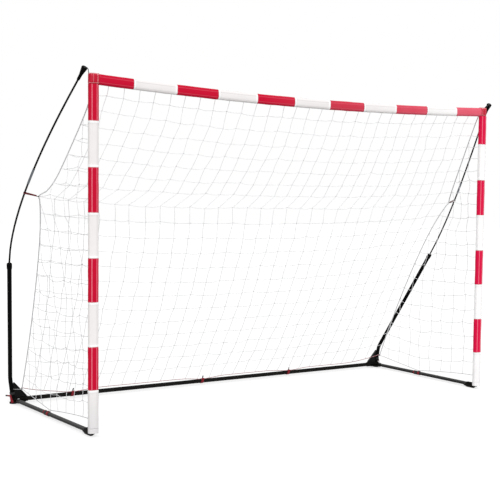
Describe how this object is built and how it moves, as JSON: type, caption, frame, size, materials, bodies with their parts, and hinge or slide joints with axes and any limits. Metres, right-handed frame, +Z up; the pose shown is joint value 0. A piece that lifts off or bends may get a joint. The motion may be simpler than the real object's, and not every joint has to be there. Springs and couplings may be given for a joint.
{
  "type": "handball goal",
  "caption": "Portable handball goal with soft striped posts and crossbar hung from bow poles on a folding steel base, with a net behind.",
  "frame": {"origin": "centre of the goal's footprint, on the ground", "axes": "+Z up, the goal mouth faces -Y, +X to the right as seen from the front"},
  "size_m": [3.527, 1.1275, 2.0483],
  "materials": {
    "black_steel": "satin powder coat",
    "rail_steel": "satin powder coat",
    "black_plastic": "matte moulded",
    "fibreglass": "smooth lacquered",
    "ferrule_metal": "dull grey metal",
    "zinc": "zinc plated",
    "sleeve_red": "satin coated fabric",
    "sleeve_white": "satin coated fabric",
    "net_twine": "matte twine",
    "hem_cord": "matte cord",
    "webbing_red": "matte webbing"
  },
  "bodies": {
    "base_frame": {"back_bar_left": "black_steel", "back_bar_centre": "black_steel", "back_bar_right": "black_steel", "left_corner_hub": "black_steel", "right_corner_hub": "black_steel", "left_gusset": "rail_steel", "right_gusset": "rail_steel", "left_upright_tube": "black_steel", "right_upright_tube": "black_steel", "left_upright_collar": "black_plastic", "right_upright_collar": "black_plastic", "left_pole_lower": "fibreglass", "right_pole_lower": "fibreglass", "left_pole_upper": "fibreglass", "right_pole_upper": "fibreglass", "left_pole_ferrule": "ferrule_metal", "right_pole_ferrule": "ferrule_metal", "left_pole_cap": "black_plastic", "right_pole_cap": "black_plastic", "left_hinge_bolt": "zinc", "right_hinge_bolt": "zinc", "left_hinge_nut": "zinc", "right_hinge_nut": "zinc", "left_corner_strap": "webbing_red", "right_corner_strap": "webbing_red", "left_pole_tie": "webbing_red", "right_pole_tie": "webbing_red", "back_strap_left": "webbing_red", "back_strap_centre": "webbing_red", "back_strap_right": "webbing_red", "crossbar_sleeve": "sleeve_red", "left_post_sleeve": "sleeve_red", "right_post_sleeve": "sleeve_red", "left_corner_patch": "sleeve_red", "right_corner_patch": "sleeve_red", "back_net_upper": "net_twine", "back_net_lower": "net_twine", "left_side_net": "net_twine", "right_side_net": "net_twine", "left_border_cord": "net_twine", "right_border_cord": "net_twine", "left_side_hem": "hem_cord", "right_side_hem": "hem_cord", "back_hem": "hem_cord"},
    "left_rail": {"left_side_rail": "rail_steel", "left_rail_knuckle": "rail_steel", "left_front_foot": "black_plastic", "left_sleeve_cuff": "sleeve_white", "left_rail_strap": "webbing_red"},
    "right_rail": {"right_side_rail": "rail_steel", "right_rail_knuckle": "rail_steel", "right_front_foot": "black_plastic", "right_sleeve_cuff": "sleeve_white", "right_rail_strap": "webbing_red"},
    "left_hub_snap": {"left_hub_button": "zinc"},
    "left_bar_snap": {"left_bar_button": "zinc"},
    "right_bar_snap": {"right_bar_button": "zinc"},
    "right_hub_snap": {"right_hub_button": "zinc"}
  },
  "joints": [
    {"name": "left_rail_fold", "type": "hinge", "parent": "base_frame", "child": "left_rail", "pos_m": [-1.533, 0.484, 0.0235], "axis": [0, 0, 1], "range_deg": [0, 90]},
    {"name": "right_rail_fold", "type": "hinge", "parent": "base_frame", "child": "right_rail", "pos_m": [1.533, 0.484, 0.0235], "axis": [0, 0, -1], "range_deg": [0, 90]},
    {"name": "left_hub_button_press", "type": "slide", "parent": "base_frame", "child": "left_hub_snap", "axis": [0, -1, 0], "range_m": [0, 0.0065], "stiffness_N_per_m": 800, "springref_m": -0.002},
    {"name": "left_bar_button_press", "type": "slide", "parent": "base_frame", "child": "left_bar_snap", "axis": [0, -1, 0], "range_m": [0, 0.0065], "stiffness_N_per_m": 800, "springref_m": -0.002},
    {"name": "right_bar_button_press", "type": "slide", "parent": "base_frame", "child": "right_bar_snap", "axis": [0, -1, 0], "range_m": [0, 0.0065], "stiffness_N_per_m": 800, "springref_m": -0.002},
    {"name": "right_hub_button_press", "type": "slide", "parent": "base_frame", "child": "right_hub_snap", "axis": [0, -1, 0], "range_m": [0, 0.0065], "stiffness_N_per_m": 800, "springref_m": -0.002}
  ]
}
